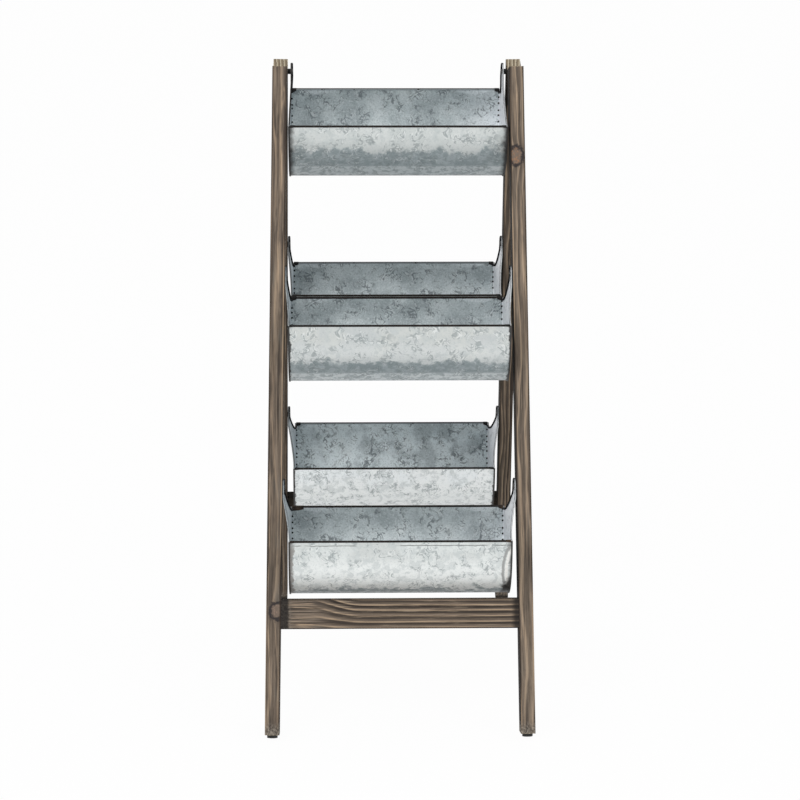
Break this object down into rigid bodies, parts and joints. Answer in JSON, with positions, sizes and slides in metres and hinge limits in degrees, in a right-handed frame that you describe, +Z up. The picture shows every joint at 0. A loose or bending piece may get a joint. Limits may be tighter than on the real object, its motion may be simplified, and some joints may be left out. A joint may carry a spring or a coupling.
{
  "type": "ladder planter",
  "caption": "Folding A-frame wooden ladder with half-round galvanised planter troughs hanging on pivots between its legs, one at the top and pairs below.",
  "frame": {"origin": "on the floor, in the middle of the stance", "axes": "+Z up, +X along the troughs to the right as seen from the front, +Y to the back"},
  "size_m": [0.4084, 0.6528, 0.9811],
  "materials": {
    "stained_pine": "weathered grey-brown stain, matt",
    "galvanised_sheet": "weathered galvanised, mottled satin",
    "rusted_rim": "dark brown, matt",
    "black_plastic": "black, matt",
    "black_iron": "black, satin",
    "dark_steel": "dark zinc, satin"
  },
  "bodies": {
    "front_frame": {"front_leg_left": "stained_pine", "front_leg_right": "stained_pine", "front_crossbar": "stained_pine", "front_crossbar_screws": "dark_steel", "front_foot_glides": "black_plastic", "front_hinge_leaves": "black_iron", "front_hinge_screws": "dark_steel", "hinge_pins": "dark_steel", "mid_front_pivot_screws": "dark_steel", "mid_front_washers": "dark_steel", "low_front_pivot_screws": "dark_steel", "low_front_washers": "dark_steel"},
    "back_frame": {"back_leg_left": "stained_pine", "back_leg_right": "stained_pine", "back_crossbar": "stained_pine", "back_crossbar_screws": "dark_steel", "back_foot_glides": "black_plastic", "back_hinge_leaves": "black_iron", "back_hinge_screws": "dark_steel", "top_pivot_screws": "dark_steel", "top_spacers": "black_plastic", "mid_back_pivot_screws": "dark_steel", "mid_back_washers": "dark_steel", "low_back_pivot_screws": "dark_steel", "low_back_washers": "dark_steel"},
    "top_trough": {"top_trough_pan": "galvanised_sheet", "top_trough_rims": "rusted_rim", "top_trough_end_left": "galvanised_sheet", "top_trough_end_right": "galvanised_sheet"},
    "mid_front_trough": {"mid_front_trough_pan": "galvanised_sheet", "mid_front_trough_rims": "rusted_rim", "mid_front_trough_end_left": "galvanised_sheet", "mid_front_trough_end_right": "galvanised_sheet"},
    "mid_back_trough": {"mid_back_trough_pan": "galvanised_sheet", "mid_back_trough_rims": "rusted_rim", "mid_back_trough_end_left": "galvanised_sheet", "mid_back_trough_end_right": "galvanised_sheet"},
    "low_front_trough": {"low_front_trough_pan": "galvanised_sheet", "low_front_trough_rims": "rusted_rim", "low_front_trough_end_left": "galvanised_sheet", "low_front_trough_end_right": "galvanised_sheet"},
    "low_back_trough": {"low_back_trough_pan": "galvanised_sheet", "low_back_trough_rims": "rusted_rim", "low_back_trough_end_left": "galvanised_sheet", "low_back_trough_end_right": "galvanised_sheet"}
  },
  "joints": [
    {"name": "fold", "type": "hinge", "parent": "front_frame", "child": "back_frame", "pos_m": [0, 0, 0.97], "axis": [-1, 0, 0], "range_deg": [0, 5.5]},
    {"name": "top_swing", "type": "hinge", "parent": "back_frame", "child": "top_trough", "pos_m": [0, 0.02475, 0.96389], "axis": [1, 0, 0], "range_deg": [-99.5, 80.5]},
    {"name": "mid_front_swing", "type": "hinge", "parent": "front_frame", "child": "mid_front_trough", "pos_m": [0, -0.11053, 0.67433], "axis": [1, 0, 0], "range_deg": [-90, 13]},
    {"name": "mid_back_swing", "type": "hinge", "parent": "back_frame", "child": "mid_back_trough", "pos_m": [0, 0.11053, 0.67433], "axis": [1, 0, 0], "range_deg": [-17, 86]},
    {"name": "low_front_swing", "type": "hinge", "parent": "front_frame", "child": "low_front_trough", "pos_m": [0, -0.20226, 0.36463], "axis": [1, 0, 0], "range_deg": [-88.5, 91.5]},
    {"name": "low_back_swing", "type": "hinge", "parent": "back_frame", "child": "low_back_trough", "pos_m": [0, 0.20226, 0.36463], "axis": [1, 0, 0], "range_deg": [-98, 82]}
  ]
}
